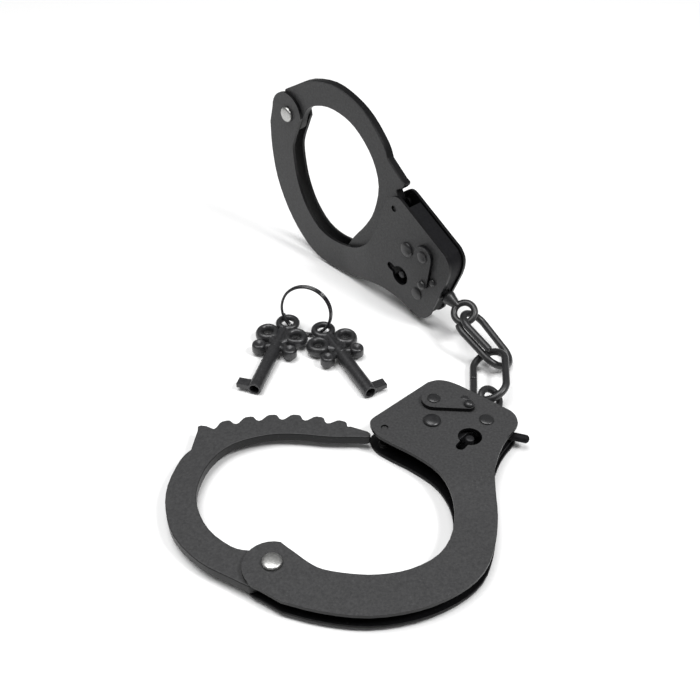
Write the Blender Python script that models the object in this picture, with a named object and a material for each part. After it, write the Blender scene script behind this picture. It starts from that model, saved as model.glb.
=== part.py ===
"""Two ratchet handcuffs joined by a short chain, with two barrel keys on a split ring.

Run with: blender --background --python part.py
All driving sizes are millimetres. The near cuff lies flat on Z = 0.
The far cuff stands on its edge, and the chain and the keys lie between the two.
A cuff is drawn in its own frame: U towards the back of the bow, V towards the chain, W out of the front
face, with the foot of its pivot lobe at (0, 0) and the middle of its thickness at W = 0.
"""
import math

import bmesh
import bpy
from mathutils import Matrix, Vector

MM = 0.001
GAP = 0.3            # clearance between two pieces

# Thickness of a cuff
CASE_HALF = 4.2      # half the thickness of the lock case
BOW_HALF = 3.0       # half the thickness of the double bow
PLATE = 1.1          # cheek plate
ARM_HALF = 1.6       # half the thickness of the single strand
BAND_HALF = 2.8      # half the height of the edge band
JOGGLE_START = 14.0  # V where the cheeks begin to part
JOGGLE_END = 34.0    # V where they reach the case thickness
JOGGLE_STEPS = 7

# Places in the cuff's frame (U, V)
PIVOT = (-0.45, 1.35)
GUIDE = (31.3, 52.5)
SPRING_POST = (46.2, 55.3)
PAWL_PIN = (63.3, 55.8)
LEVER_PIN = (47.3, 64.1)
LEVER_TIP = (58.2, 61.3)
STOP_PIN = (57.4, 65.3)
KEY_POST = (57.4, 48.5)
KEY_SLOT_END = (54.1, 44.2)
ROD_ROOT = (64.6, 54.8)
ROD_TIP = (76.6, 51.3)
ROD_CUT = 2.2                    # the rod's inner end, just off the pawl's hub
ROD_WIRE = 1.4
CHAIN_EDGE = (63.9, 66.5)        # where the swivel's axis crosses the end of the case
CHAIN_DIRECTION = (0.577, 0.816)

# Rivets, posts and pins
PIVOT_SHAFT = 2.2
PIN_SHAFT = 1.5
SMALL_SHAFT = 0.9
PIVOT_HEAD = 2.9
PIVOT_DOME = 1.15
FLUSH = 0.05         # how far a flush end stays inside the back face
KEYHOLE_RADIUS = 3.73
KEYHOLE_SLOT = 1.45  # half the width of the keyhole's slot
POST_RADIUS = 1.4
GUIDE_PIT = 1.2
GUIDE_BUMP = 1.7

# Ratchet arm
TOOTH_RADIUS = 60.0    # all of the teeth are measured from the pivot
TOOTH_DEPTH = 2.4
TOOTH_COUNT = 6
TOOTH_PITCH = 7.22   # degrees
FIRST_TOOTH = 107.7  # degrees, the tooth next to the shoulder with the arm nearly closed
ARM_LOBE = 6.9
CLOSED_ANGLE = -49.0     # the far arm, turned from the near arm's pose
PRESSED_ANGLE = -22.0    # the far pawl, turned by the rod that the cuff stands on

# Swivel and chain
SWIVEL_EYE = 3.65        # centreline radius of the eye
SWIVEL_WIRE = 1.2
SWIVEL_IN = 4.44         # eye centre to case edge, pushed in
SWIVEL_OUT = 9.22        # eye centre to case edge, pulled out
LINK_WIRE = 1.28
LINK_END = 5.8           # centreline radius of a link's round end
LINK_STRAIGHT = 11.4
LAP_STEP = -3.0          # side step from one turn of a lapped link to the next

# Poses in the world
FAR_HEADING = 222.5      # degrees, the way the far cuff's front face looks
FAR_LEAN = -72.15         # degrees, slope of the far cuff's U axis
FAR_PLACE = (-1.34, 172.97, 56.22)
SET_CENTRE = (21.89, 83.3)  # moved to the origin once everything is placed
NEAR_EYE_TURN = -55.3     # degrees about the chain axis, from square to the cuff
FAR_EYE_TURN = 34.7

# Keys
KEY_LIFT = 3.6           # height of a key's top loop, held up by the ring
KEY_TILT = 1.9           # degrees, so that the barrel's open end rests on the floor
BARREL_RADIUS = 2.35
BARREL_BORE = 1.65
RING_RADIUS = 9.3
RING_WIRE = 0.45
RING_STEP = 1.0          # side step from one turn of the ring to the next
RING_TILT = 78.0         # degrees, the standing ring's slope
RING_START = 200.0       # degrees, where its wire begins

PAINT = ((0.022, 0.022, 0.024), 0.42, 0.55)
NICKEL = ((0.62, 0.61, 0.58), 0.25, 1.0)
STEEL = ((0.10, 0.10, 0.105), 0.35, 1.0)
GUNMETAL = ((0.075, 0.075, 0.08), 0.34, 0.9)
GLOSS_BLACK = ((0.015, 0.015, 0.017), 0.18, 0.8)

for old in list(bpy.data.objects):
    bpy.data.objects.remove(old)


# ---------------------------------------------------------------- materials and objects

def finish_material(name, finish):
    colour, roughness, metallic = finish
    material = bpy.data.materials.new(name)
    material.use_nodes = True
    shader = material.node_tree.nodes["Principled BSDF"]
    shader.inputs["Base Color"].default_value = (*colour, 1.0)
    shader.inputs["Roughness"].default_value = roughness
    shader.inputs["Metallic"].default_value = metallic
    return material


def add_object(name, shape, finish, parent=None, at=(0, 0, 0), turn=0.0):
    """Turns a bmesh in millimetres into an object whose origin is at `at` in its parent's frame."""
    mesh = bpy.data.meshes.new(name)
    bmesh.ops.recalc_face_normals(shape, faces=shape.faces)
    bmesh.ops.scale(shape, vec=(MM, MM, MM), verts=shape.verts)
    shape.to_mesh(mesh)
    shape.free()
    mesh.shade_smooth()
    mesh.set_sharp_from_angle(angle=math.radians(35))
    mesh.materials.append(finish_material(name + "_finish", finish))
    obj = bpy.data.objects.new(name, mesh)
    bpy.context.scene.collection.objects.link(obj)
    obj.parent = parent
    obj.location = Vector(at) * MM
    obj.rotation_euler = (0, 0, math.radians(turn))
    return obj


def add_tool(target, shape, operation):
    """Adds a Boolean whose tool is a hidden object in the same frame as the target."""
    mesh = bpy.data.meshes.new(target.name + "_tool")
    bmesh.ops.recalc_face_normals(shape, faces=shape.faces)
    bmesh.ops.scale(shape, vec=(MM, MM, MM), verts=shape.verts)
    shape.to_mesh(mesh)
    shape.free()
    tool = bpy.data.objects.new(target.name + "_tool", mesh)
    bpy.context.scene.collection.objects.link(tool)
    tool.parent = target
    tool.hide_render = True
    tool.display_type = "WIRE"
    cut = target.modifiers.new("cut", "BOOLEAN")
    cut.operation = operation
    cut.object = tool
    cut.solver = "EXACT"


def metres(matrix):
    """The same matrix with its place turned from millimetres into metres."""
    scaled = matrix.copy()
    scaled.translation = matrix.translation * MM
    return scaled


def add_frame(name, matrix):
    empty = bpy.data.objects.new(name, None)
    bpy.context.scene.collection.objects.link(empty)
    empty.matrix_world = matrix
    return empty


# ---------------------------------------------------------------- outlines

def arc(centre, radius, start, end, steps):
    """Points on an arc, angles in degrees."""
    points = []
    for step in range(steps + 1):
        angle = math.radians(start + (end - start) * step / steps)
        points.append((centre[0] + radius * math.cos(angle), centre[1] + radius * math.sin(angle)))
    return points


def circle(centre, radius, steps):
    return arc(centre, radius, 0, 360 * (steps - 1) / steps, steps - 1)


def smooth_through(points, steps):
    """A Catmull-Rom curve through the points, which ends on the last one."""
    padded = [points[0]] + list(points) + [points[-1]]
    curve = []
    for i in range(1, len(padded) - 2):
        before, start, end, after = (Vector(p) for p in padded[i - 1:i + 3])
        for step in range(steps):
            t = step / steps
            curve.append(tuple(0.5 * (2 * start + (end - before) * t
                                      + (2 * before - 5 * start + 4 * end - after) * t * t
                                      + (3 * start - before - 3 * end + after) * t ** 3)))
    curve.append(tuple(points[-1]))
    return curve


def shifted(points, origin):
    return [(u - origin[0], v - origin[1]) for u, v in points]


def capsule(start, end, start_radius, end_radius, steps):
    """Outline of two circles joined by their tangents."""
    along = Vector(end) - Vector(start)
    heading = math.degrees(math.atan2(along.y, along.x))
    side = math.degrees(math.acos((start_radius - end_radius) / along.length))
    return (arc(end, end_radius, heading - side, heading + side, steps)
            + arc(start, start_radius, heading + side, heading + 360 - side, steps))


# ---------------------------------------------------------------- solids

def prism(outline, low, high, shape=None):
    """A straight extrusion of a closed outline."""
    shape = shape or bmesh.new()
    bottom = [shape.verts.new((u, v, low)) for u, v in outline]
    top = [shape.verts.new((u, v, high)) for u, v in outline]
    shape.faces.new(list(reversed(bottom)))
    shape.faces.new(top)
    for i in range(len(outline)):
        j = (i + 1) % len(outline)
        shape.faces.new((bottom[i], bottom[j], top[j], top[i]))
    return shape


def turned(profile, steps, shape=None, matrix=None):
    """A solid of revolution about Z. The profile runs from the foot to the top as (radius, height)."""
    shape = shape or bmesh.new()
    matrix = matrix or Matrix.Identity(4)
    rings = []
    for radius, height in profile:
        count = 1 if radius == 0 else steps
        ring = []
        for i in range(count):
            angle = 2 * math.pi * i / steps
            place = Vector((radius * math.cos(angle), radius * math.sin(angle), height))
            ring.append(shape.verts.new(matrix @ place))
        rings.append(ring)
    for lower, upper in zip(rings, rings[1:]):
        for i in range(steps):
            j = (i + 1) % steps
            corners = [lower[i % len(lower)], lower[j % len(lower)], upper[j % len(upper)], upper[i % len(upper)]]
            face = list(dict.fromkeys(corners))
            shape.faces.new(face)
    return shape


def swept(path, radius, sides, closed, shape=None):
    """A round wire along a path, carried without twist; an open wire has flat ends."""
    shape = shape or bmesh.new()
    points = [Vector(p) for p in path]
    count = len(points)
    rings = []
    normal = None
    for i, point in enumerate(points):
        ahead = points[(i + 1) % count] if closed or i < count - 1 else point
        behind = points[i - 1] if closed or i > 0 else point
        tangent = (ahead - behind).normalized()
        if normal is None:
            normal = tangent.orthogonal()
        normal = (normal - tangent * normal.dot(tangent)).normalized()
        across = tangent.cross(normal)
        ring = []
        for side in range(sides):
            angle = 2 * math.pi * side / sides
            ring.append(shape.verts.new(point + radius * (math.cos(angle) * normal + math.sin(angle) * across)))
        rings.append(ring)
    pairs = list(zip(rings, rings[1:]))
    if closed:
        pairs.append((rings[-1], rings[0]))
    else:
        shape.faces.new(rings[0])
        shape.faces.new(rings[-1])
    for first, second in pairs:
        for side in range(sides):
            other = (side + 1) % sides
            shape.faces.new((first[side], first[other], second[other], second[side]))
    return shape


def rivet_profile(shaft, foot, head, under, top):
    """A plain shaft from `foot` and a low domed head from `under` to `top`."""
    crown = top - under
    return [(0, foot), (shaft, foot), (shaft, under), (head, under), (head, under + 0.35 * crown),
            (0.8 * head, under + 0.8 * crown), (0.4 * head, top), (0, top)]


# ---------------------------------------------------------------- cheek plates and edge band

BOW_OUTER = [(2.5, -10.9), (12.9, -14.0), (25.5, -15.5), (38.5, -13.3), (49.2, -8.2), (56.5, -1.4),
             (60.5, 7.7), (62.4, 17.7), (62.8, 27.0), (63.7, 35.8), (67.4, 45.5), (72.3, 52.8)]
CASE_CORNER = [(73.0, 55.6), (72.6, 58.2), (71.4, 60.2)]
CHAIN_CORNER = [(56.4, 72.2), (52.9, 74.2), (49.4, 74.9), (46.1, 73.8)]
MOUTH_CORNER = [(30.0, 58.9), (27.3, 56.2), (26.9, 53.6), (28.6, 49.6), (32.7, 46.0)]
BOW_INNER = [(40.1, 40.6), (47.0, 33.4), (50.2, 23.5), (49.2, 12.6), (44.8, 4.4), (36.8, -0.6),
             (28.0, -2.4), (20.5, -2.1), (13.4, -0.7), (9.4, 1.6), (5.6, 4.9), (3.0, 7.1)]
LOBE = (-0.5, 0.6)
LOBE_RADIUS = 8.2


def cheek_outline():
    """Runs from the foot of the pivot lobe round the bow, the case and the mouth back to the lobe."""
    outer = smooth_through(BOW_OUTER + CASE_CORNER, 3)
    chain_end = smooth_through(CHAIN_CORNER, 3)
    inner = smooth_through(MOUTH_CORNER + BOW_INNER, 3)
    lobe = arc(LOBE, LOBE_RADIUS, 76, 250, 14)
    return outer + chain_end + inner + lobe


def joggle(v):
    """0 over the bow and 1 over the case, in straight steps along a smooth rise."""
    span = (JOGGLE_END - JOGGLE_START) / JOGGLE_STEPS
    place = min(max((v - JOGGLE_START) / span, 0), JOGGLE_STEPS)
    step = min(int(place), JOGGLE_STEPS - 1)

    def rise(k):
        t = k / JOGGLE_STEPS
        return t * t * (3 - 2 * t)
    return rise(step) + (place - step) * (rise(step + 1) - rise(step))


def keyhole_outline():
    along = Vector(KEY_SLOT_END) - Vector(KEY_POST)
    heading = math.degrees(math.atan2(along.y, along.x))
    half = math.degrees(math.asin(KEYHOLE_SLOT / KEYHOLE_RADIUS))
    return (arc(KEY_POST, KEYHOLE_RADIUS, heading + half, heading + 360 - half, 20)
            + arc(KEY_SLOT_END, KEYHOLE_SLOT, heading - 90, heading + 90, 6))


def hole(shape, centre, radius, steps=14):
    reach = CASE_HALF + 1
    prism(circle(centre, radius, steps), -reach, reach, shape)


def add_cheek(name, parent, side):
    """side is 1 for the front cheek and -1 for the back one."""
    outer_face = BOW_HALF
    plate = prism(cheek_outline(), outer_face - PLATE, outer_face)
    for step in range(JOGGLE_STEPS + 1):
        v = JOGGLE_START + (JOGGLE_END - JOGGLE_START) * step / JOGGLE_STEPS
        everything = list(plate.verts) + list(plate.edges) + list(plate.faces)
        bmesh.ops.bisect_plane(plate, geom=everything, plane_co=(0, v, 0), plane_no=(0, 1, 0), dist=1e-5)
    for vert in plate.verts:
        if vert.co.x > 0:
            vert.co.z += (CASE_HALF - BOW_HALF) * joggle(vert.co.y)
        vert.co.z *= side
    cheek = add_object(name, plate, PAINT, parent)

    bump = bmesh.new()
    bump_low = (CASE_HALF - PLATE - 1.0) * side
    bump_high = (CASE_HALF - 0.5 * PLATE) * side
    prism(circle(GUIDE, GUIDE_BUMP, 14), min(bump_low, bump_high), max(bump_low, bump_high), bump)
    add_tool(cheek, bump, "UNION")

    holes = bmesh.new()
    pit_foot = (CASE_HALF - 0.7) * side
    pit_mouth = (CASE_HALF + 1.0) * side
    prism(circle(GUIDE, GUIDE_PIT, 14), min(pit_foot, pit_mouth), max(pit_foot, pit_mouth), holes)
    hole(holes, PIVOT, PIVOT_SHAFT + GAP)
    hole(holes, SPRING_POST, PIN_SHAFT + GAP)
    hole(holes, PAWL_PIN, PIN_SHAFT + GAP)
    if side > 0:
        hole(holes, LEVER_PIN, PIN_SHAFT + GAP)
        hole(holes, STOP_PIN, SMALL_SHAFT + GAP, 12)
        prism(keyhole_outline(), 0, CASE_HALF + 1, holes)
    else:
        hole(holes, KEY_POST, POST_RADIUS + GAP)
    add_tool(cheek, holes, "DIFFERENCE")
    return cheek


def inset_line(points, distance):
    """Moves an open line to its left by a distance."""
    moved = []
    for i, point in enumerate(points):
        behind = Vector(points[max(i - 1, 0)])
        ahead = Vector(points[min(i + 1, len(points) - 1)])
        tangent = (ahead - behind).normalized()
        moved.append((point[0] - tangent.y * distance, point[1] + tangent.x * distance))
    return moved


def chain_frame(offset):
    """A frame on the chain axis, Z pointing out of the case, X along W, at a distance from the edge."""
    out = Vector((*CHAIN_DIRECTION, 0)).normalized()
    place = Vector((*CHAIN_EDGE, 0)) + out * offset
    x_axis = Vector((0, 0, 1))
    y_axis = out.cross(x_axis)
    frame = Matrix((x_axis, y_axis, out)).transposed().to_4x4()
    frame.translation = place
    return frame


ROD_WINDOW = [(62, 45.2), (78, 45.2), (78, 56.4), (66, 56.4)]
ROD_ROOM = 0.4       # room on either side of the rod in its window


def add_edge_band(name, parent):
    """The strip that closes the case's edge from the bow round to the mouth."""
    right = smooth_through(BOW_OUTER[-3:] + CASE_CORNER, 3)
    top = smooth_through(CHAIN_CORNER, 3)
    left = [(35.0, 63.6), (30.4, 59.3)]
    line = right + top + left
    outer_line = inset_line(line, 0.7)
    inner_line = inset_line(line, 1.9)
    band = prism(outer_line + list(reversed(inner_line)), -BAND_HALF, BAND_HALF)
    band = add_object(name, band, PAINT, parent)
    openings = bmesh.new()
    prism(ROD_WINDOW, -ROD_WIRE - ROD_ROOM, ROD_WIRE + ROD_ROOM, openings)
    turned([(0, -4), (2.3, -4), (2.3, 2), (0, 2)], 16, openings, chain_frame(0))
    add_tool(band, openings, "DIFFERENCE")


# ---------------------------------------------------------------- moving parts of a cuff

ARM_OUTER = [(-28.2, 45.6), (-30.9, 41.2), (-33.2, 31.0), (-32.4, 21.5), (-28.6, 11.6), (-20.6, 2.9),
             (-12.0, -2.2), (-6.2, -5.4)]
ARM_INNER = [(-3.0, 7.4), (-7.4, 6.9), (-12.4, 8.4), (-19.2, 14.4), (-23.4, 22.8), (-24.2, 31.0),
             (-21.6, 40.6), (-15.4, 48.0), (-5.0, 51.9), (4.0, 52.3), (14.0, 51.1), (22.0, 51.0)]


TOOTH_CREST = 0.46   # where over its pitch a tooth is at full height
TOOTH_FALL = 0.72    # where it begins to fall
TOOTH_DROP = 0.24    # how much of the pitch the fall takes


def tooth_rise(t):
    """Height of one tooth over its pitch, from 0 at a valley to 1 near the steep side."""
    if t < TOOTH_FALL:
        return 0.5 - 0.5 * math.cos(math.pi * min(t / TOOTH_CREST, 1.0))
    return 0.5 + 0.5 * math.cos(math.pi * min((t - TOOTH_FALL) / TOOTH_DROP, 1.0))


def polar(radius, angle):
    """A point at a distance and an angle in degrees from the pivot."""
    place = math.radians(angle)
    return (PIVOT[0] + radius * math.cos(place), PIVOT[1] + radius * math.sin(place))


def arm_outline():
    first_valley = FIRST_TOOTH + 0.62 * TOOTH_PITCH
    points = [polar(59.0, 117.0), polar(60.8, 116.3), polar(60.8, 115.3), polar(59.8, 113.9)]
    steps = 9
    for tooth in range(TOOTH_COUNT):
        for step in range(steps):
            t = step / steps
            angle = first_valley - (tooth + t) * TOOTH_PITCH
            points.append(polar(TOOTH_RADIUS - TOOTH_DEPTH * (1 - tooth_rise(t)), angle))
    tip = [(20.9, 55.8), (23.8, 54.5), (26.0, 53.6), (27.0, 52.6), (26.9, 51.2), (25.6, 50.8)]
    inner = smooth_through(ARM_INNER, 3)
    lobe = arc(PIVOT, ARM_LOBE, 84, -118, 12)
    outer = smooth_through(ARM_OUTER, 3)
    return points + tip + list(reversed(inner)) + lobe + list(reversed(outer))


def add_arm(name, parent, turn):
    shape = prism(shifted(arm_outline(), PIVOT), -ARM_HALF, ARM_HALF)
    arm = add_object(name, shape, PAINT, parent, (*PIVOT, 0), turn)
    bore = bmesh.new()
    hole(bore, (0, 0), PIVOT_SHAFT + GAP)
    add_tool(arm, bore, "DIFFERENCE")


PAWL_TOOTH = 52.6    # degrees, its first tooth seen from the pivot
PAWL_PITCH = 3.4     # degrees
PAWL_HUB = 3.1
PAWL_UPPER = [(60.6, 58.1), (56.0, 54.5), (51.0, 48.7), (47.0, 46.0), (43.2, 49.4), (38.2, 52.2)]
PAWL_TIP = [(36.6, 52.2), (36.2, 50.9)]
PAWL_LOWER = [(47.2, 42.6), (50.6, 45.2), (53.4, 48.6), (57.2, 52.7), (60.6, 53.4)]


def pawl_outline():
    """Hub on the pawl pin, a neck over the key post and three teeth that ride just off the arm's teeth."""
    teeth = []
    for tooth in range(3):
        angle = PAWL_TOOTH - PAWL_PITCH * tooth
        teeth.append(polar(TOOTH_RADIUS + 1.3, angle))
        teeth.append(polar(TOOTH_RADIUS + 2.7, angle - 1.6))
    hub = arc(PAWL_PIN, PAWL_HUB, -138, 138, 14)
    return hub + PAWL_UPPER[1:] + PAWL_TIP + teeth + PAWL_LOWER[:-1]


def add_pawl(prefix, parent, turn):
    """The pawl with its release rod and spring, all about the pawl pin."""
    shape = prism(shifted(pawl_outline(), PAWL_PIN), -ARM_HALF, ARM_HALF)
    pawl = add_object(prefix + "_pawl", shape, STEEL, parent, (*PAWL_PIN, 0), turn)
    cuts = bmesh.new()
    hole(cuts, (0, 0), PIN_SHAFT + GAP)
    add_tool(pawl, cuts, "DIFFERENCE")

    root = Vector(ROD_ROOT) - Vector(PAWL_PIN)
    along = Vector(ROD_TIP) - Vector(ROD_ROOT)
    length = along.length
    profile = [(0, ROD_CUT), (ROD_WIRE, ROD_CUT), (ROD_WIRE, length - 0.9), (0.9, length - 0.25), (0, length)]
    rod = turned(profile, 12)
    heading = Matrix.Rotation(math.atan2(along.y, along.x), 4, "Z") @ Matrix.Rotation(math.pi / 2, 4, "Y")
    heading.translation = (root.x, root.y, 0)
    bmesh.ops.transform(rod, matrix=heading, verts=rod.verts)
    add_object(prefix + "_release_rod", rod, PAINT, parent, (*PAWL_PIN, 0), turn)

    wire = [(2.5 * math.cos(a), 2.5 * math.sin(a), 2.45) for a in
            (math.radians(200 + 18 * step) for step in range(16))]
    path = [(-14.0, -5.0, 2.45), (-8.0, -2.6, 2.45)] + wire + [(1.0, 6.2, 2.45)]
    add_object(prefix + "_pawl_spring", swept(path, 0.35, 5, False), STEEL, parent, (*PAWL_PIN, 0), 0)


def add_safety_lever(prefix, parent):
    """The small lever on the front face, its pivot, its thumb knob and the cam behind it."""
    low = CASE_HALF + GAP
    high = low + 1.2
    tip = Vector(LEVER_TIP) - Vector(LEVER_PIN)
    blade = prism(capsule((0, 0), tip, 4.0, 1.9, 10), low, high)
    blade = add_object(prefix + "_safety_lever", blade, PAINT, parent, (*LEVER_PIN, 0))
    bores = bmesh.new()
    prism(circle((0, 0), PIN_SHAFT + GAP, 16), low - 1, high + 1, bores)
    prism(circle(tip, SMALL_SHAFT + GAP, 12), low - 1, high + 1, bores)
    add_tool(blade, bores, "DIFFERENCE")
    pin = turned(rivet_profile(PIN_SHAFT, 0.8, 2.3, high + GAP, high + GAP + 0.7), 14)
    add_object(prefix + "_lever_rivet", pin, PAINT, parent, (*LEVER_PIN, 0))
    knob = turned(rivet_profile(SMALL_SHAFT, low + 0.1, 1.7, high + GAP, high + GAP + 1.1), 12)
    bmesh.ops.translate(knob, vec=(*tip, 0), verts=knob.verts)
    add_object(prefix + "_lever_knob", knob, PAINT, parent, (*LEVER_PIN, 0))
    cam = prism(capsule((0, 0), (4.6, -1.6), 2.9, 1.5, 8), 1.0, 2.6)
    cam = add_object(prefix + "_lock_cam", cam, STEEL, parent, (*LEVER_PIN, 0))
    bore = bmesh.new()
    prism(circle((0, 0), PIN_SHAFT + GAP, 16), 0, 4, bore)
    add_tool(cam, bore, "DIFFERENCE")


def add_fixed_pins(prefix, parent):
    """Rivets and posts that hold the case together."""
    top = CASE_HALF + GAP
    foot = -CASE_HALF + FLUSH
    bow_top = BOW_HALF + GAP
    pivot = [(0, -CASE_HALF), (1.9, -CASE_HALF), (PIVOT_HEAD, -bow_top), (PIVOT_SHAFT, -bow_top),
             (PIVOT_SHAFT, bow_top), (PIVOT_HEAD, bow_top), (PIVOT_HEAD - 0.1, bow_top + 0.35),
             (2.1, bow_top + 0.85), (1.1, bow_top + PIVOT_DOME), (0, bow_top + PIVOT_DOME)]
    add_object(prefix + "_pivot_rivet", turned(pivot, 16), NICKEL, parent, (*PIVOT, 0))
    post = turned(rivet_profile(PIN_SHAFT, foot, 2.8, top, top + 1.0), 14)
    add_object(prefix + "_spring_post", post, PAINT, parent, (*SPRING_POST, 0))
    pin = turned(rivet_profile(PIN_SHAFT, foot, 2.3, top, top + 0.5), 14)
    add_object(prefix + "_pawl_pin", pin, PAINT, parent, (*PAWL_PIN, 0))
    stop = turned(rivet_profile(SMALL_SHAFT, CASE_HALF - PLATE - 0.6, 1.4, top, top + 0.8), 12)
    add_object(prefix + "_stop_pin", stop, PAINT, parent, (*STOP_PIN, 0))
    key_post = turned([(0, foot), (POST_RADIUS, foot), (POST_RADIUS, 3.2), (1.0, 3.6), (0, 3.6)], 16)
    add_object(prefix + "_key_post", key_post, PAINT, parent, (*KEY_POST, 0))


def add_swivel(prefix, parent, offset, eye_turn):
    """Eye, tapered neck and inner head on the chain axis; eye_turn is about that axis in degrees."""
    frame = chain_frame(offset) @ Matrix.Rotation(math.radians(eye_turn), 4, "Z")
    neck = [(0, -12.5), (2.55, -12.5), (2.55, -11.8), (1.5, -11.4), (1.5, -8.2), (2.1, -8.0), (1.5, -3.9),
            (1.1, -3.0), (0, -3.0)]
    origin = frame.translation.copy()
    local = frame.copy()
    local.translation = (0, 0, 0)
    shape = turned(neck, 12, matrix=local)
    swivel = add_object(prefix + "_swivel", shape, PAINT, parent, origin)
    eye = [local @ Vector((SWIVEL_EYE * math.cos(a), 0, SWIVEL_EYE * math.sin(a)))
           for a in (2 * math.pi * step / 20 for step in range(20))]
    add_tool(swivel, swept(eye, SWIVEL_WIRE, 8, True), "UNION")
    return frame


def add_cuff(prefix, matrix, arm_turn, pawl_turn, swivel_offset, eye_turn):
    parent = add_frame(prefix + "_frame", matrix)
    add_cheek(prefix + "_cheek_front", parent, 1)
    add_cheek(prefix + "_cheek_back", parent, -1)
    add_edge_band(prefix + "_edge_band", parent)
    add_fixed_pins(prefix, parent)
    add_arm(prefix + "_ratchet_arm", parent, arm_turn)
    add_pawl(prefix, parent, pawl_turn)
    add_safety_lever(prefix, parent)
    return matrix @ add_swivel(prefix, parent, swivel_offset, eye_turn)


def far_matrix():
    """The far cuff stands on its edge: W level, U sloping down to the floor."""
    heading = math.radians(FAR_HEADING)
    lean = math.radians(FAR_LEAN)
    front = Vector((math.cos(heading), math.sin(heading), 0))
    up = Vector((0, 0, 1))
    level = up.cross(front)
    u_axis = math.cos(lean) * level + math.sin(lean) * up
    v_axis = front.cross(u_axis)
    matrix = Matrix((u_axis, v_axis, front)).transposed().to_4x4()
    matrix.translation = FAR_PLACE
    return matrix


# ---------------------------------------------------------------- chain

def link_path(turns, step, steps_per_turn):
    """Centreline of an oval link in its own frame: X along, Y across, Z the side step of a lapped wire."""
    straight = LINK_STRAIGHT
    bend = math.pi * LINK_END
    lap = 2 * straight + 2 * bend
    count = int(round(turns * steps_per_turn))
    path = []
    for i in range(count + 1):
        travelled = turns * lap * i / count
        s = travelled % lap
        if s < straight:
            x, y = -straight / 2 + s, LINK_END
        elif s < straight + bend:
            a = (s - straight) / LINK_END
            x, y = straight / 2 + LINK_END * math.sin(a), LINK_END * math.cos(a)
        elif s < 2 * straight + bend:
            x, y = straight / 2 - (s - straight - bend), -LINK_END
        else:
            a = (s - 2 * straight - bend) / LINK_END
            x, y = -straight / 2 - LINK_END * math.sin(a), -LINK_END * math.cos(a)
        path.append((x, y, step * (travelled / lap - turns / 2)))
    return path


def link_frame(start, end, across):
    """A link's frame from the middles of its two round ends and a rough crosswise direction."""
    start = Vector(start)
    end = Vector(end)
    along = (end - start).normalized()
    sideways = Vector(across)
    sideways = (sideways - along * sideways.dot(along)).normalized()
    frame = Matrix((along, sideways, along.cross(sideways))).transposed().to_4x4()
    frame.translation = (start + end) / 2
    return frame


def add_link(name, frame, hung_from, turns, step):
    """The link's origin is at the end that it swings about."""
    shape = swept(link_path(turns, step, 32), LINK_WIRE, 8, False)
    local = Matrix.Translation(-Vector(hung_from)) @ frame
    bmesh.ops.transform(shape, matrix=local, verts=shape.verts)
    add_object(name, shape, PAINT, at=hung_from)


# ---------------------------------------------------------------- keys

LOOP_RADIUS = 3.2        # centreline of a loop
LOOP_WIRE = 1.15
LOOP_CUT = 2.6           # clears the web out of a loop
SIDE_LOOP = (5.25, 6.8)
TOP_LOOP = (0.0, 13.75)
STUD = (5.65, -1.3)
STUD_RADIUS = 2.5
STUD_HALF = 1.5
WEB_HALF = 0.8
WEB_SIDE = [(2.4, -1.0), (5.6, -1.8), (6.0, 0.0), (3.4, 2.2), (5.2, 6.8), (1.6, 8.6), (1.7, 12.2)]
BARREL_FOOT = -1.4
BARREL_END = -22.3
BORE_FOOT = -13.0
BIT_REACH = 6.5
BIT_SPAN = (-22.0, -18.6)
BIT_HALF = 0.9


def add_key(name, place, heading, flip):
    """A barrel key, drawn about its top loop at `place`; flip is -1 for a key turned over."""
    frame = Matrix.Translation((*place, KEY_LIFT)) @ Matrix.Rotation(math.radians(heading), 4, "Z")
    frame = frame @ Matrix.Rotation(math.radians(KEY_TILT), 4, "X")
    empty = add_frame(name + "_frame", metres(frame))
    loops = [TOP_LOOP, SIDE_LOOP, (-SIDE_LOOP[0], SIDE_LOOP[1])]

    def at(point):
        return (point[0] - TOP_LOOP[0], point[1] - TOP_LOOP[1])
    web = [at(p) for p in WEB_SIDE + [(-u, v) for u, v in reversed(WEB_SIDE)]]
    bow = add_object(name + "_bow", prism(web, -WEB_HALF, WEB_HALF), GUNMETAL, empty)
    bores = bmesh.new()
    for loop in loops:
        prism(circle(at(loop), LOOP_CUT, 14), -2 * WEB_HALF, 2 * WEB_HALF, bores)
    add_tool(bow, bores, "DIFFERENCE")
    for loop in loops:
        path = [(u, v, 0) for u, v in circle(at(loop), LOOP_RADIUS, 18)]
        add_tool(bow, swept(path, LOOP_WIRE, 8, True), "UNION")
    for side in (-1, 1):
        stud = turned([(0, -STUD_HALF), (STUD_RADIUS - 0.4, -STUD_HALF), (STUD_RADIUS, 0.4 - STUD_HALF),
                       (STUD_RADIUS, STUD_HALF - 0.6), (STUD_RADIUS - 0.6, STUD_HALF), (0, STUD_HALF)], 14)
        bmesh.ops.translate(stud, vec=(*at((side * STUD[0], STUD[1])), 0), verts=stud.verts)
        add_tool(bow, stud, "UNION")

    length = BARREL_FOOT - BARREL_END
    bore = BARREL_FOOT - BORE_FOOT
    lie = Matrix.Translation((*at((0, BARREL_FOOT)), 0)) @ Matrix.Rotation(math.pi / 2, 4, "X")
    tube = [(0, 0), (BARREL_RADIUS, 0), (BARREL_RADIUS, length), (BARREL_BORE, length), (BARREL_BORE, bore), (0, bore)]
    barrel = add_object(name + "_barrel", turned(tube, 16, matrix=lie), GUNMETAL, empty)
    bit_root = (BARREL_RADIUS + BARREL_BORE) / 2
    corners = [at((flip * u, v)) for u, v in ((bit_root, BIT_SPAN[0]), (BIT_REACH, BIT_SPAN[0]),
                                              (BIT_REACH, BIT_SPAN[1]), (bit_root, BIT_SPAN[1]))]
    add_tool(barrel, prism(corners, -BIT_HALF, BIT_HALF), "UNION")


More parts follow.
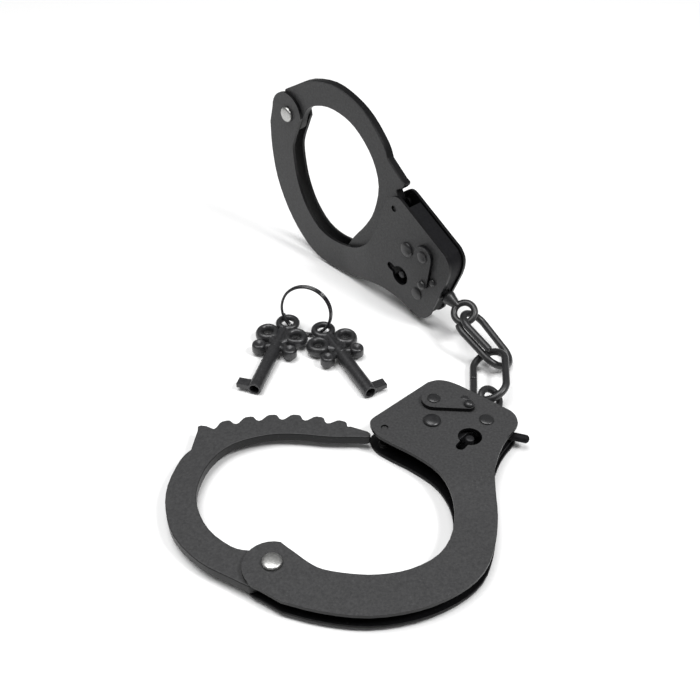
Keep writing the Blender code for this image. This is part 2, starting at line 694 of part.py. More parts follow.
def ring_path(first, second, height):
    """Two turns of split-ring wire, standing on end, through the two points at a height."""
    start = Vector((*first, height))
    end = Vector((*second, height))
    along = (end - start).normalized()
    tilt = math.radians(RING_TILT)
    up = Vector((0, 0, math.sin(tilt))) + math.cos(tilt) * Vector((0, 0, 1)).cross(along)
    axis = along.cross(up)
    half = (end - start).length / 2
    centre = (start + end) / 2 + up * math.sqrt(RING_RADIUS ** 2 - half ** 2)
    path = []
    turns = 1.85
    count = 60
    for i in range(count + 1):
        a = math.radians(RING_START) + 2 * math.pi * turns * i / count
        offset = RING_STEP * (turns * i / count - turns / 2)
        path.append(RING_RADIUS * (math.cos(a) * along + math.sin(a) * up) + offset * axis)
    return path, centre


# ---------------------------------------------------------------- assembly

near_matrix = Matrix.Translation((0, 0, CASE_HALF))


add_cuff("near", metres(near_matrix), 0.0, 0.0, SWIVEL_IN, NEAR_EYE_TURN)
add_cuff("far", metres(far_matrix()), CLOSED_ANGLE, PRESSED_ANGLE, SWIVEL_OUT, FAR_EYE_TURN)

NEAR_LINK = ((66.36, 69.80, 4.49), (68.48, 92.69, 5.25))
NEAR_LINK_ACROSS = (-0.88, 0.15, -0.46)
FAR_LINK = ((60.84, 105.05, 12.16), (74.56, 88.92, 3.18))
FAR_LINK_ACROSS = (-0.70, -0.60, 0.40)
BUTTED_TURNS = 0.99
LAPPED_TURNS = 1.18
add_link("link_near", link_frame(*NEAR_LINK, NEAR_LINK_ACROSS), NEAR_LINK[0], BUTTED_TURNS, 0.0)
add_link("link_far", link_frame(*FAR_LINK, FAR_LINK_ACROSS), FAR_LINK[1], LAPPED_TURNS, LAP_STEP)

KEY_1_PLACE = (-1.95, 111.6)
KEY_2_PLACE = (11.0, 107.4)
add_key("key_1", KEY_1_PLACE, -15.3, -1)
add_key("key_2", KEY_2_PLACE, 27.1, 1)
ring_turns, ring_centre = ring_path(KEY_1_PLACE, KEY_2_PLACE, KEY_LIFT)
add_object("key_ring", swept(ring_turns, RING_WIRE, 6, False), GLOSS_BLACK, at=ring_centre)

# The set's own frame has its origin under the middle of everything.
for piece in bpy.context.scene.collection.objects:
    if piece.parent is None:
        piece.location -= Vector((*SET_CENTRE, 0)) * MM
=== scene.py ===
"""Looks of two black ratchet handcuffs, their chain, and two barrel keys on a split ring.

Lengths in the tables below are millimetres and angles are degrees, unless a comment says otherwise. Every
object is in metres, in the frame of the CAD part.
A cuff's own frame is U towards the back of the bow, V towards the chain, W out of the front face.
A key's own frame is U across the bow and V from the bit towards the ring.
"""
import math

import bmesh
import bpy
from mathutils import Matrix, Vector


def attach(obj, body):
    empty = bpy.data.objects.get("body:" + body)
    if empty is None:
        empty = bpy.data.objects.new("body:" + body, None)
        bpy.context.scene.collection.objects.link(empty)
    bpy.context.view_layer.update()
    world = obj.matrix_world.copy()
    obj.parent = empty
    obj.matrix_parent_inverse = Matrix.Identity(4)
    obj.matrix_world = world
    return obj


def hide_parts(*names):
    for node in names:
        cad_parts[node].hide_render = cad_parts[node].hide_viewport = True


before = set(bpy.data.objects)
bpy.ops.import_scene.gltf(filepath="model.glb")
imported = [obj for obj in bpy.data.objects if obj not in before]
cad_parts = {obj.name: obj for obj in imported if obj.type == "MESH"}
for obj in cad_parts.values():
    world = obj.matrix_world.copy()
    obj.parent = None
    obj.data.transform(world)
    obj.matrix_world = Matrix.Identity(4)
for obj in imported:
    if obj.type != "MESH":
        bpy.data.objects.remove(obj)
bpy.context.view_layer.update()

MM = 0.001
SET_CENTRE = Vector((21.89, 83.3, 0))   # the set's middle, in the near cuff's frame

# Camera, floor and light: places and sizes in metres, power in watts
CAMERA_PLACE = (-0.00133, -0.2437, 0.21394)
CAMERA_DOWN = 39.34                     # below the horizon
CAMERA_LENS = 48.89
CAMERA_CLIP = 0.01
SKY_STRENGTH = 0.20
SOFTBOX = {"place": (-0.30, -0.08, 1.40), "aim": (0, 0, 0), "size": 1.2, "power": 19.5}
SIDE_LIGHT = {"place": (0.50, -0.28, 0.74), "aim": (0, 0.05, 0), "size": 0.26, "power": 4.8}
FLOOR_HALF = 3
PAPER = (0.93, 0.93, 0.93, 1)
PAPER_ROUGHNESS = 0.6

# Finishes: a fine mottle runs from the dark to the light colour
FINISHES = {
    "dark_steel": {"dark": (0.010, 0.010, 0.011), "light": (0.024, 0.024, 0.026), "roughness": 0.42,
                   "metallic": 0.4, "bump": 0.08},
    "bright_nickel": {"dark": (0.36, 0.36, 0.35), "light": (0.54, 0.54, 0.53), "roughness": 0.38,
                      "metallic": 1.0, "grain": 700.0, "bump": 0.5},
    "gunmetal": {"dark": (0.014, 0.014, 0.015), "light": (0.038, 0.038, 0.040), "roughness": 0.36,
                 "metallic": 0.3, "grain": 700.0, "bump": 1.0, "specular": 0.7},
    "gloss_black": {"dark": (0.008, 0.008, 0.009), "light": (0.014, 0.014, 0.016), "roughness": 0.13,
                    "grain": 800.0, "bump": 0.03, "coat": 0.35},
    "satin_black": {"dark": (0.012, 0.012, 0.013), "light": (0.022, 0.022, 0.023), "roughness": 0.36,
                    "specks": 0.05},
    "rivet_black": {"dark": (0.010, 0.010, 0.011), "light": (0.020, 0.020, 0.021), "roughness": 0.34},
    # Painted shade: a near-black colour for the edge band and the release rod, which sit in shade
    "shaded_black": {"dark": (0.004, 0.004, 0.005), "light": (0.009, 0.009, 0.010), "roughness": 0.55,
                   "specular": 0.1},
}
SHEET = {"dark": (0.034, 0.034, 0.035), "light": (0.056, 0.056, 0.057), "roughness": 0.38,
         "specks": 0.05, "bump": 0.14, "specular": 0.2}
# Painted shade: the near-black colour that sheet edges and inner sides are darkened to
PAINTED_SHADE = (0.004, 0.004, 0.0045, 1)
SPECK = (0.30, 0.30, 0.31, 1)
COAT_ROUGHNESS = 0.12
MOTTLE_SCALE = 1300.0                   # noise scales, per metre
ROUGHNESS_SCALE = 240.0
ROUGHNESS_SPREAD = 0.025
RELIEF_DEPTH = 0.00008                  # metres

# A cuff, in its own frame
CASE_HALF = 4.2
BOW_HALF = 3.0
GAP = 0.3
LEVER_SHEET = 1.2
PIVOT = (-0.45, 1.35)
SPRING_POST = (46.2, 55.3)
PAWL_PIN = (63.3, 55.8)
LEVER_PIN = (47.3, 64.1)
LEVER_TIP = (58.2, 61.3)
STOP_PIN = (57.4, 65.3)
KEY_POST = (57.4, 48.5)
CHAIN_EDGE = (63.9, 66.5)
CHAIN_DIRECTION = (0.577, 0.816)
FAR_HEADING = 222.5
FAR_LEAN = -72.15
FAR_PLACE = (-1.34, 172.97, 56.22)

# The CAD nodes of a cuff that keep their shape: the face of each sheet part (1 the front side, -1 the back,
# 0 both), whose edges and other side get painted shade, and the widths of the soft edges
SHEET_FACES = {"cheek_front": 1, "cheek_back": -1, "ratchet_arm": 0, "safety_lever": 1}
OUTER_EDGES = {"cheek_front": 0.3, "cheek_back": 0.3, "edge_band": 0.25, "ratchet_arm": 0.45,
               "safety_lever": 0.3}
INNER_EDGES = {"pawl": 0.2, "lock_cam": 0.2, "pawl_spring": 0.05}
ROD_EDGE = 0.2
RIVET_EDGE = 0.08
RIVET_EDGE_ANGLE = 50
PIVOT_SIDES = 13

# Chain
SWIVEL_NECK = [(0, -12.5), (2.45, -12.5), (2.55, -12.4), (2.55, -11.9), (2.45, -11.8), (1.5, -11.4),
               (1.5, -8.95), (2.3, -8.85), (2.6, -8.6), (2.65, -8.1), (2.5, -7.4), (2.15, -6.4), (1.8, -5.2),
               (1.55, -4.2), (1.3, -3.4), (1.1, -3.0), (0, -3.0)]
NECK_STEPS = 40
SWIVEL_EYE = 3.65
SWIVEL_WIRE = 1.17
EYE_STEPS = 72
SWIVELS = {"near": {"offset": 4.44, "eye_turn": -55.3}, "far": {"offset": 9.22, "eye_turn": 34.7}}
WIRE_SIDES = 24
WIRE_END_LENGTH = 0.25                  # an open wire's rounded end, as parts of the wire's radius
WIRE_END_RADIUS = 0.72
LINK_WIRE = 1.25
LINK_END = 5.8
LINK_STRAIGHT = 11.4
LINK_STEPS = 140                        # per turn
LINKS = {
    "link_near": {"start": (66.36, 69.80, 4.49), "end": (68.48, 92.69, 5.25), "across": (-0.88, 0.15, -0.46),
                  "first": 5.7, "turns": 1.0937, "step": 0.0},
    "link_far": {"start": (60.84, 105.05, 12.16), "end": (74.56, 88.92, 3.18), "across": (-0.70, -0.60, 0.40),
                 "first": -4.0, "turns": 1.18, "step": -3.0},
}

# Keys
KEYS = {"key_1": {"place": (-1.95, 111.6), "heading": -15.3, "bit_side": -1},
        "key_2": {"place": (11.0, 107.4), "heading": 27.1, "bit_side": 1}}
KEY_LIFT = 3.6
KEY_TILT = 1.9
KEY_EDGE_ANGLE = 40
STEM = ((0, -1.4), (0, 0.4), (0, 2.2))
STEM_RADIUS = 2.1
MIDDLE_ARM = ((0, 1.5), (0, 10.9))
SIDE_ARMS = (((0, 1.5), (3.4, 4.9)), ((0, 0.8), (4.6, -1.1)))
ARM_RADIUS = 1.2
WEB_SIDE = [(2.6, 1.2), (4.2, 4.6), (1.8, 9.0), (1.5, 11.4)]
WEB_HALF = 0.75
TOP_LOOP = (0.0, 13.75)
TOP_LOOP_RADIUS = 3.2
TOP_LOOP_WIRE = 1.15
TOP_LOOP_STEPS = 64
SIDE_LOOP = (5.25, 6.8)
SIDE_LOOP_RADIUS = 3.0
SIDE_LOOP_WIRE = 1.35
DEEP = Matrix.Translation((0, 0, -0.55)) @ Matrix.Diagonal((1, 1, 1.5, 1))   # a side loop's wire is tall
LOOP_SIDES = 20
LOOP_CUT = 2.6
LOOP_CUT_HALF = 3
STUD = (5.65, -1.3)
STUD_PROFILE = [(0, -1.9), (2.1, -1.9), (2.5, -1.4), (2.5, 0.8), (2.4, 1.3), (2.1, 1.7), (1.65, 1.85),
                (1.25, 1.7), (0.85, 1.35), (0, 1.2)]
STUD_STEPS = 36
BOW_EDGE = 0.22
BARREL_TOP = (0, -1.4)
BARREL_RADIUS = 2.35
BARREL_LENGTH = 20.9
BARREL_BORE = 1.65
BORE_FOOT = 11.6
BARREL_EDGE = 0.2
BIT = ((2.0, -22.0), (6.5, -22.0), (6.5, -18.6), (2.0, -18.6))
BIT_HALF = 0.9

# Split ring
RING_RADIUS = 9.3
RING_WIRE = 0.5
RING_STEP = 1.0
RING_TILT = 78.0
RING_START = 200.0
RING_TURNS = 1.85
RING_STEPS = 240
RING_SIDES = 16


# ---------------------------------------------------------------- camera, floor and light

def add_camera():
    camera = bpy.data.cameras.new("camera")
    camera.lens = CAMERA_LENS
    camera.clip_start = CAMERA_CLIP
    holder = bpy.data.objects.new("camera", camera)
    holder.location = CAMERA_PLACE
    holder.rotation_euler = (math.radians(90 - CAMERA_DOWN), 0, 0)
    bpy.context.scene.collection.objects.link(holder)
    bpy.context.scene.camera = holder


def add_light(name, place, aim, size, power):
    light = bpy.data.lights.new(name, "AREA")
    light.shape = "DISK"
    light.size = size
    light.energy = power
    holder = bpy.data.objects.new(name, light)
    holder.location = place
    holder.rotation_euler = (Vector(aim) - Vector(place)).to_track_quat("-Z", "Y").to_euler()
    bpy.context.scene.collection.objects.link(holder)


def add_floor():
    shape = bmesh.new()
    signs = ((-1, -1), (1, -1), (1, 1), (-1, 1))
    shape.faces.new([shape.verts.new((FLOOR_HALF * x, FLOOR_HALF * y, 0)) for x, y in signs])
    mesh = bpy.data.meshes.new("floor")
    shape.to_mesh(mesh)
    shape.free()
    floor = bpy.data.objects.new("floor", mesh)
    bpy.context.scene.collection.objects.link(floor)
    paper = bpy.data.materials.new("paper")
    paper.use_nodes = True
    shader = paper.node_tree.nodes["Principled BSDF"]
    shader.inputs["Base Color"].default_value = PAPER
    shader.inputs["Roughness"].default_value = PAPER_ROUGHNESS
    mesh.materials.append(paper)


def add_studio():
    scene = bpy.context.scene
    scene.view_settings.view_transform = "Standard"
    world = bpy.data.worlds.new("studio")
    world.use_nodes = True
    background = world.node_tree.nodes["Background"]
    background.inputs["Color"].default_value = (1, 1, 1, 1)
    background.inputs["Strength"].default_value = SKY_STRENGTH
    scene.world = world
    add_light("softbox", **SOFTBOX)
    add_light("side light", **SIDE_LIGHT)
    add_floor()


# ---------------------------------------------------------------- materials

def add_finish(name, dark, light, roughness, metallic=0.0, grain=2200.0, bump=0.12, specks=0.0, coat=0.0,
               specular=0.5, face=None, both_sides=False):
    """A coated or plated metal: mottled colour, fine relief, and pale specks if it has any.

    Sheet metal has a face direction: its edges get painted shade, darker than its face, and so does its inner
    side unless both sides count as faces.
    """
    material = bpy.data.materials.new(name)
    material.use_nodes = True
    tree = material.node_tree
    nodes = tree.nodes
    shader = nodes["Principled BSDF"]
    shader.inputs["Metallic"].default_value = metallic
    shader.inputs["Specular IOR Level"].default_value = specular
    if coat:
        shader.inputs["Coat Weight"].default_value = coat
        shader.inputs["Coat Roughness"].default_value = COAT_ROUGHNESS
    coordinates = nodes.new("ShaderNodeTexCoord")

    def noise(scale, detail, rough=0.5):
        node = nodes.new("ShaderNodeTexNoise")
        node.inputs["Scale"].default_value = scale
        node.inputs["Detail"].default_value = detail
        node.inputs["Roughness"].default_value = rough
        tree.links.new(coordinates.outputs["Object"], node.inputs["Vector"])
        return node.outputs["Fac"]

    def spread(value, low, high, to_low, to_high):
        node = nodes.new("ShaderNodeMapRange")
        for key, number in (("From Min", low), ("From Max", high), ("To Min", to_low), ("To Max", to_high)):
            node.inputs[key].default_value = number
        tree.links.new(value, node.inputs["Value"])
        return node.outputs["Result"]

    def mixed(factor, first, second):
        """From the first to the second colour; either is a plain colour or a node's output."""
        node = nodes.new("ShaderNodeMix")
        node.data_type = "RGBA"
        tree.links.new(factor, node.inputs["Factor"])
        for key, value in (("A", first), ("B", second)):
            if isinstance(value, tuple):
                node.inputs[key].default_value = value
            else:
                tree.links.new(value, node.inputs[key])
        return node.outputs["Result"]

    colour = mixed(spread(noise(MOTTLE_SCALE, 4.0, 0.7), 0.32, 0.68, 0.0, 1.0), (*dark, 1), (*light, 1))
    # Painted shade: where a surface turns away from the face direction, on edges and on the inner side, its
    # colour is darkened to near black
    if face:
        lean = nodes.new("ShaderNodeVectorMath")
        lean.operation = "DOT_PRODUCT"
        lean.inputs[1].default_value = face
        tree.links.new(coordinates.outputs["Normal"], lean.inputs[0])
        facing = lean.outputs["Value"]
        if both_sides:
            magnitude = nodes.new("ShaderNodeMath")
            magnitude.operation = "ABSOLUTE"
            tree.links.new(facing, magnitude.inputs[0])
            facing = magnitude.outputs["Value"]
        colour = mixed(spread(facing, 0.5, 0.95, 0.0, 1.0), PAINTED_SHADE, colour)
    if specks:
        colour = mixed(spread(noise(grain * 0.8, 1.0), 0.66, 0.74, 0.0, specks), colour, SPECK)
    tree.links.new(colour, shader.inputs["Base Color"])
    wear = spread(noise(ROUGHNESS_SCALE, 3.0), 0.3, 0.7, roughness - ROUGHNESS_SPREAD,
                  roughness + ROUGHNESS_SPREAD)
    tree.links.new(wear, shader.inputs["Roughness"])
    relief = nodes.new("ShaderNodeBump")
    relief.inputs["Strength"].default_value = bump
    relief.inputs["Distance"].default_value = RELIEF_DEPTH
    tree.links.new(noise(grain, 2.0, 0.6), relief.inputs["Height"])
    tree.links.new(relief.outputs["Normal"], shader.inputs["Normal"])
    return material


# ---------------------------------------------------------------- shapes, in millimetres

def turned(profile, steps=48, matrix=None):
    """A solid of revolution about Z. The profile runs from the foot to the top as (radius, height)."""
    shape = bmesh.new()
    matrix = matrix or Matrix.Identity(4)
    rings = []
    for radius, height in profile:
        count = 1 if radius == 0 else steps
        ring = []
        for i in range(count):
            angle = 2 * math.pi * i / steps
            point = Vector((radius * math.cos(angle), radius * math.sin(angle), height))
            ring.append(shape.verts.new(matrix @ point))
        rings.append(ring)
    for lower, upper in zip(rings, rings[1:]):
        for i in range(steps):
            j = (i + 1) % steps
            corners = [lower[i % len(lower)], lower[j % len(lower)],
                       upper[j % len(upper)], upper[i % len(upper)]]
            shape.faces.new(list(dict.fromkeys(corners)))
    return shape


def swept(path, radius, sides, closed, shape=None):
    """A round wire along a path, carried without twist; an open wire has slightly rounded ends."""
    shape = shape or bmesh.new()
    points = [Vector(p) for p in path]
    radii = [radius] * len(points)
    if not closed:
        first = (points[1] - points[0]).normalized() * radius * WIRE_END_LENGTH
        last = (points[-2] - points[-1]).normalized() * radius * WIRE_END_LENGTH
        points = [points[0], points[0] + first] + points[1:-1] + [points[-1] + last, points[-1]]
        end = radius * WIRE_END_RADIUS
        radii = [end] + [radius] * (len(points) - 2) + [end]
    count = len(points)
    rings = []
    normal = None
    for i, point in enumerate(points):
        ahead = points[(i + 1) % count] if closed or i < count - 1 else point
        behind = points[i - 1] if closed or i > 0 else point
        tangent = (ahead - behind).normalized()
        normal = tangent.orthogonal() if normal is None else normal
        normal = (normal - tangent * normal.dot(tangent)).normalized()
        across = tangent.cross(normal)
        ring = []
        for side in range(sides):
            angle = 2 * math.pi * side / sides
            outward = math.cos(angle) * normal + math.sin(angle) * across
            ring.append(shape.verts.new(point + radii[i] * outward))
        rings.append(ring)
    pairs = list(zip(rings, rings[1:]))
    if closed:
        pairs.append((rings[-1], rings[0]))
    else:
        shape.faces.new(rings[0])
        shape.faces.new(rings[-1])
    for first, second in pairs:
        for side in range(sides):
            other = (side + 1) % sides
            shape.faces.new((first[side], first[other], second[other], second[side]))
    return shape


def prism(outline, low, high, shape=None):
    """A flat outline made solid between two heights."""
    shape = shape or bmesh.new()
    bottom = [shape.verts.new((u, v, low)) for u, v in outline]
    top = [shape.verts.new((u, v, high)) for u, v in outline]
    shape.faces.new(list(reversed(bottom)))
    shape.faces.new(top)
    for i in range(len(outline)):
        j = (i + 1) % len(outline)
        shape.faces.new((bottom[i], bottom[j], top[j], top[i]))
    return shape


def circle(centre, radius, steps=48):
    angles = (2 * math.pi * step / steps for step in range(steps))
    return [(centre[0] + radius * math.cos(a), centre[1] + radius * math.sin(a)) for a in angles]


def domed_head(shaft, foot, head, under, top):
    """The profile of a plain shaft with a low round head that has a soft rim."""
    crown = top - under
    profile = [(0, foot), (shaft, foot), (shaft, under), (head - 0.1, under), (head, under + 0.1)]
    for step in range(7):
        a = math.radians(15 + 75 * step / 6)
        profile.append((head * math.cos(a) ** 0.8 if step < 6 else 0, under + crown * math.sin(a)))
    return profile


# ---------------------------------------------------------------- pieces

def make_object(name, shape, matrix, material):
    """An object from a bmesh in millimetres, its mesh placed in the part's frame in metres."""
    bmesh.ops.recalc_face_normals(shape, faces=shape.faces)
    mesh = bpy.data.meshes.new(name)
    bmesh.ops.transform(shape, matrix=Matrix.Scale(MM, 4) @ matrix, verts=shape.verts)
    shape.to_mesh(mesh)
    shape.free()
    mesh.shade_smooth()
    mesh.materials.append(material)
    obj = bpy.data.objects.new(name, mesh)
    bpy.context.scene.collection.objects.link(obj)
    return obj


def carve(obj, shape, matrix, operation):
    """Joins or cuts a shape in millimetres into a made object, at once."""
    tool = make_object("tool", shape, matrix, obj.data.materials[0])
    cut = obj.modifiers.new("cut", "BOOLEAN")
    cut.operation = operation
    cut.object = tool
    cut.solver = "EXACT"
    bpy.context.view_layer.update()
    result = bpy.data.meshes.new_from_object(obj.evaluated_get(bpy.context.evaluated_depsgraph_get()))
    obj.modifiers.clear()
    old = obj.data
    obj.data = result
    result.name = obj.name
    bpy.data.meshes.remove(old)
    tool_mesh = tool.data
    bpy.data.objects.remove(tool)
    bpy.data.meshes.remove(tool_mesh)


def round_edges(obj, width, segments=2, angle=35.0, flatten=False):
    """Soft edges of a width in millimetres. A CAD mesh is welded and its flat faces merged first."""
    if flatten:
        weld = obj.modifiers.new("weld", "WELD")
        weld.merge_threshold = 1e-6
        flat = obj.modifiers.new("flat faces", "DECIMATE")
        flat.decimate_type = "DISSOLVE"
        flat.angle_limit = math.radians(0.6)
    bevel = obj.modifiers.new("soft edges", "BEVEL")
    bevel.width = width * MM
    bevel.segments = segments
    bevel.limit_method = "ANGLE"
    bevel.angle_limit = math.radians(angle)
    bevel.use_clamp_overlap = True
    normals = obj.modifiers.new("even shading", "WEIGHTED_NORMAL")
    normals.keep_sharp = False
    normals.weight = 80


def finish_node(name, material, width, segments):
    """The material and the soft edges of a CAD node, which keeps its shape."""
    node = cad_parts[name]
    node.data.materials.clear()
    node.data.materials.append(material)
    round_edges(node, width, segments, flatten=True)


def stand_for(obj, body, node):
    """A made object rides a body and takes a CAD node's place; the node is hidden."""
    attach(obj, body)
    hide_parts(node)


def cuff_matrices():
    """The frames of the flat near cuff and the standing far cuff, in millimetres."""
    near = Matrix.Translation(Vector((0, 0, CASE_HALF)) - SET_CENTRE)
    heading = math.radians(FAR_HEADING)
    lean = math.radians(FAR_LEAN)
    front = Vector((math.cos(heading), math.sin(heading), 0))
    up = Vector((0, 0, 1))
    u_axis = math.cos(lean) * up.cross(front) + math.sin(lean) * up
    far = Matrix((u_axis, front.cross(u_axis), front)).transposed().to_4x4()
    far.translation = Vector(FAR_PLACE) - SET_CENTRE
    return {"near": near, "far": far}


def finish_cuff(cuff, matrix, finishes):
    """The CAD nodes of a cuff that keep their shape."""
    front = matrix.to_3x3().col[2]
    # Painted shade: the edge band is coloured near black
    outer = {"edge_band": finishes["shaded_black"]}
    for part, side in SHEET_FACES.items():
        face = tuple((side or 1) * c for c in front)
        outer[part] = add_finish(f"{cuff}_{part}_black", **SHEET, face=face, both_sides=side == 0)
    for part, width in OUTER_EDGES.items():
        finish_node(f"{cuff}_{part}", outer[part], width, 3)
    for part, width in INNER_EDGES.items():
        finish_node(f"{cuff}_{part}", finishes["dark_steel"], width, 2)
    # Painted shade: the release rod is coloured near black too
    finish_node(f"{cuff}_release_rod", finishes["shaded_black"], ROD_EDGE, 2)


def add_rivets(cuff, matrix, finishes):
    top = CASE_HALF + GAP
    foot = -CASE_HALF + 0.05
    high = CASE_HALF + 2 * GAP + LEVER_SHEET
    bow_top = BOW_HALF + GAP

    def rivet(part, body, place, profile, finish="rivet_black", steps=48):
        shape = turned(profile, steps, Matrix.Translation((*place, 0)))
        obj = make_object(f"{cuff}_{part}_detail", shape, matrix, finishes[finish])
        round_edges(obj, RIVET_EDGE, 2, RIVET_EDGE_ANGLE)
        stand_for(obj, f"{cuff}_{body}", f"{cuff}_{part}")

    pivot = [(0, -CASE_HALF), (1.9, -CASE_HALF), (2.9, -bow_top), (2.2, -bow_top), (2.2, bow_top),
             (2.9, bow_top), (2.92, bow_top + 0.55), (2.6, bow_top + 0.85), (1.9, bow_top + 1.06),
             (0, bow_top + 1.15)]
    rivet("pivot_rivet", "case", PIVOT, pivot, "bright_nickel", PIVOT_SIDES)
    rivet("spring_post", "case", SPRING_POST, domed_head(1.5, foot, 2.8, top, top + 1.0))
    rivet("pawl_pin", "case", PAWL_PIN, domed_head(1.5, foot, 2.3, top, top + 0.5))
    rivet("stop_pin", "case", STOP_PIN, domed_head(0.9, CASE_HALF - 1.7, 1.4, top, top + 0.8))
    rivet("lever_rivet", "lever", LEVER_PIN, domed_head(1.5, 0.8, 2.1, high, high + 0.45))
    rivet("lever_knob", "lever", LEVER_TIP, domed_head(0.9, CASE_HALF + GAP + 0.1, 1.7, high, high + 1.1))
    post = [(0, foot), (1.4, foot), (1.4, 3.2), (1.3, 3.45), (1.0, 3.6), (0, 3.6)]
    rivet("key_post", "case", KEY_POST, post, "dark_steel")


def add_swivel(cuff, matrix, material, offset, eye_turn):
    """An eye, an offset outside the case's edge, on a tapered shank that reaches into the case."""
    out = Vector((*CHAIN_DIRECTION, 0)).normalized()
    x_axis = Vector((0, 0, 1))
    axes = Matrix((x_axis, out.cross(x_axis), out)).transposed().to_4x4()
    axes.translation = Vector((*CHAIN_EDGE, 0)) + out * offset
    local = matrix @ axes @ Matrix.Rotation(math.radians(eye_turn), 4, "Z")
    shape = turned(SWIVEL_NECK, NECK_STEPS)
    eye = [(u, 0, w) for u, w in circle((0, 0), SWIVEL_EYE, EYE_STEPS)]
    swept(eye, SWIVEL_WIRE, WIRE_SIDES, True, shape)
    obj = make_object(f"{cuff}_swivel_detail", shape, local, material)
    stand_for(obj, f"{cuff}_swivel", f"{cuff}_swivel")


def link_path(first, turns, step):
    """Centreline of an oval link: X along, Y across, Z the side step of a lapped wire.

    Lengths round the link are counted from the -X end of its +Y strand. The wire runs from the first length
    to a number of turns.
    """
    bend = math.pi * LINK_END
    lap = 2 * LINK_STRAIGHT + 2 * bend
    half = LINK_STRAIGHT / 2
    count = int(round(turns * LINK_STEPS))
    path = []
    for i in range(count + 1):
        travelled = first + (turns * lap - first) * i / count
        s = travelled % lap
        if s < LINK_STRAIGHT:
            x, y = s - half, LINK_END
        elif s < LINK_STRAIGHT + bend:
            a = (s - LINK_STRAIGHT) / LINK_END
            x, y = half + LINK_END * math.sin(a), LINK_END * math.cos(a)
        elif s < 2 * LINK_STRAIGHT + bend:
            x, y = half - (s - LINK_STRAIGHT - bend), -LINK_END
        else:
            a = (s - 2 * LINK_STRAIGHT - bend) / LINK_END
            x, y = -half - LINK_END * math.sin(a), -LINK_END * math.cos(a)
        path.append((x, y, step * (travelled / lap - turns / 2)))
    return path


def add_link(name, material, start, end, across, first, turns, step):
    """A link that lies along a line from a start to an end point, both in the near cuff's frame."""
    start = Vector(start)
    end = Vector(end)
    along = (end - start).normalized()
    sideways = Vector(across)
    sideways = (sideways - along * sideways.dot(along)).normalized()
    matrix = Matrix((along, sideways, along.cross(sideways))).transposed().to_4x4()
    matrix.translation = (start + end) / 2 - SET_CENTRE
    shape = swept(link_path(first, turns, step), LINK_WIRE, WIRE_SIDES, False)
    obj = make_object(name + "_detail", shape, matrix, material)
    stand_for(obj, name, name)


def from_top_loop(point):
    """A point of a key as seen from its top loop, where the key's matrix starts."""
    return (point[0] - TOP_LOOP[0], point[1] - TOP_LOOP[1])


def add_bow(name, matrix, material):
    """A key's bow: a stem with arms and a thin web, three loops and two dimpled studs."""

    def level(points):
        return [(*from_top_loop(point), 0) for point in points]

    stem = swept(level(STEM), STEM_RADIUS, WIRE_SIDES, False)
    bow = make_object(name + "_bow_detail", stem, matrix, material)
    arms = [MIDDLE_ARM]
    for side in (-1, 1):
        arms += [(root, (side * tip[0], tip[1])) for root, tip in SIDE_ARMS]
    for root, tip in arms:
        middle = ((root[0] + tip[0]) / 2, (root[1] + tip[1]) / 2)
        carve(bow, swept(level([root, middle, tip]), ARM_RADIUS, LOOP_SIDES, False), matrix, "UNION")
    web = [from_top_loop(p) for p in WEB_SIDE + [(-u, v) for u, v in reversed(WEB_SIDE)]]
    carve(bow, prism(web, -WEB_HALF, WEB_HALF), matrix, "UNION")

    side_loops = [SIDE_LOOP, (-SIDE_LOOP[0], SIDE_LOOP[1])]
    holes = bmesh.new()
    for loop in [TOP_LOOP] + side_loops:
        prism(circle(from_top_loop(loop), LOOP_CUT), -LOOP_CUT_HALF, LOOP_CUT_HALF, holes)
    carve(bow, holes, matrix, "DIFFERENCE")
    path = [(u, v, 0) for u, v in circle(from_top_loop(TOP_LOOP), TOP_LOOP_RADIUS, TOP_LOOP_STEPS)]
    carve(bow, swept(path, TOP_LOOP_WIRE, LOOP_SIDES, True), matrix, "UNION")
    for loop in side_loops:
        path = [(u, v, 0) for u, v in circle((0, 0), SIDE_LOOP_RADIUS)]
        place = matrix @ Matrix.Translation((*from_top_loop(loop), 0)) @ DEEP
        carve(bow, swept(path, SIDE_LOOP_WIRE, LOOP_SIDES, True), place, "UNION")

    for side in (-1, 1):
        place = Matrix.Translation((*from_top_loop((side * STUD[0], STUD[1])), 0))
        carve(bow, turned(STUD_PROFILE, STUD_STEPS, place), matrix, "UNION")
    round_edges(bow, BOW_EDGE, 2, KEY_EDGE_ANGLE)
    stand_for(bow, name, name + "_bow")


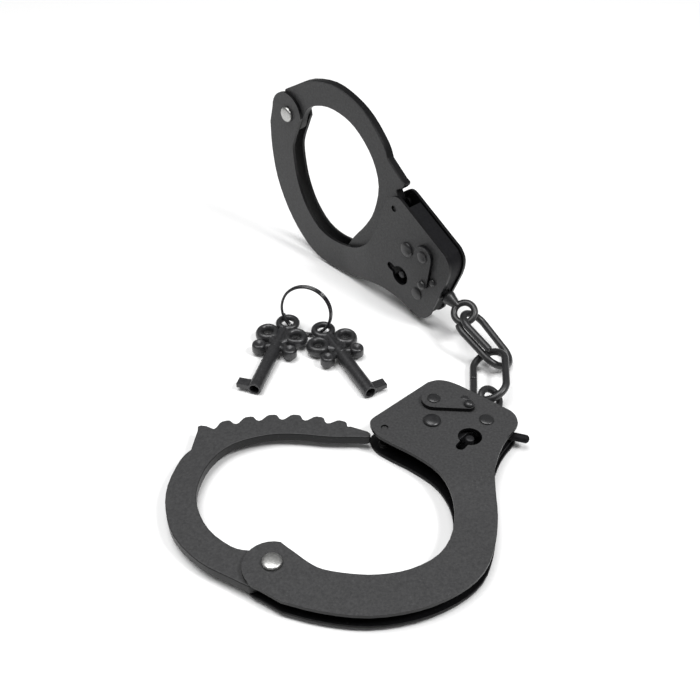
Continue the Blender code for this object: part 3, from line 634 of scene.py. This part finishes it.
def add_barrel(name, matrix, material, bit_side):
    """A key's hollow barrel with its bit."""
    lie = Matrix.Translation((*from_top_loop(BARREL_TOP), 0)) @ Matrix.Rotation(math.pi / 2, 4, "X")
    tube = [(0, 0), (BARREL_RADIUS, 0), (BARREL_RADIUS, BARREL_LENGTH), (BARREL_BORE, BARREL_LENGTH),
            (BARREL_BORE, BORE_FOOT), (0, BORE_FOOT)]
    barrel = make_object(name + "_barrel_detail", turned(tube, 48, lie), matrix, material)
    corners = [from_top_loop((bit_side * u, v)) for u, v in BIT]
    carve(barrel, prism(corners, -BIT_HALF, BIT_HALF), matrix, "UNION")
    round_edges(barrel, BARREL_EDGE, 2, KEY_EDGE_ANGLE)
    stand_for(barrel, name, name + "_barrel")


def add_key(name, material, place, heading, bit_side):
    matrix = Matrix.Translation(Vector((*place, KEY_LIFT)) - SET_CENTRE)
    matrix = matrix @ Matrix.Rotation(math.radians(heading), 4, "Z")
    matrix = matrix @ Matrix.Rotation(math.radians(KEY_TILT), 4, "X")
    add_bow(name, matrix, material)
    add_barrel(name, matrix, material, bit_side)


def add_ring(first, second, material):
    """A split ring of nearly two turns, standing on end through the two keys' top loops."""
    start = Vector((*first, KEY_LIFT))
    end = Vector((*second, KEY_LIFT))
    along = (end - start).normalized()
    tilt = math.radians(RING_TILT)
    up = Vector((0, 0, math.sin(tilt))) + math.cos(tilt) * Vector((0, 0, 1)).cross(along)
    axis = along.cross(up)
    half = (end - start).length / 2
    centre = (start + end) / 2 + up * math.sqrt(RING_RADIUS ** 2 - half ** 2) - SET_CENTRE
    path = []
    for i in range(RING_STEPS + 1):
        a = math.radians(RING_START) + 2 * math.pi * RING_TURNS * i / RING_STEPS
        offset = RING_STEP * (RING_TURNS * i / RING_STEPS - RING_TURNS / 2)
        path.append(centre + RING_RADIUS * (math.cos(a) * along + math.sin(a) * up) + offset * axis)
    shape = swept(path, RING_WIRE, RING_SIDES, False)
    obj = make_object("key_ring_detail", shape, Matrix.Identity(4), material)
    stand_for(obj, "key_ring", "key_ring")


# ---------------------------------------------------------------- the scene

add_camera()
add_studio()

finishes = {name: add_finish(name, **values) for name, values in FINISHES.items()}
cuffs = cuff_matrices()
for cuff, matrix in cuffs.items():
    finish_cuff(cuff, matrix, finishes)
    add_rivets(cuff, matrix, finishes)
for cuff, matrix in cuffs.items():
    add_swivel(cuff, matrix, finishes["satin_black"], **SWIVELS[cuff])
for name, values in LINKS.items():
    add_link(name, finishes["satin_black"], **values)
for name, values in KEYS.items():
    add_key(name, finishes["gunmetal"], **values)
add_ring(KEYS["key_1"]["place"], KEYS["key_2"]["place"], finishes["gloss_black"])
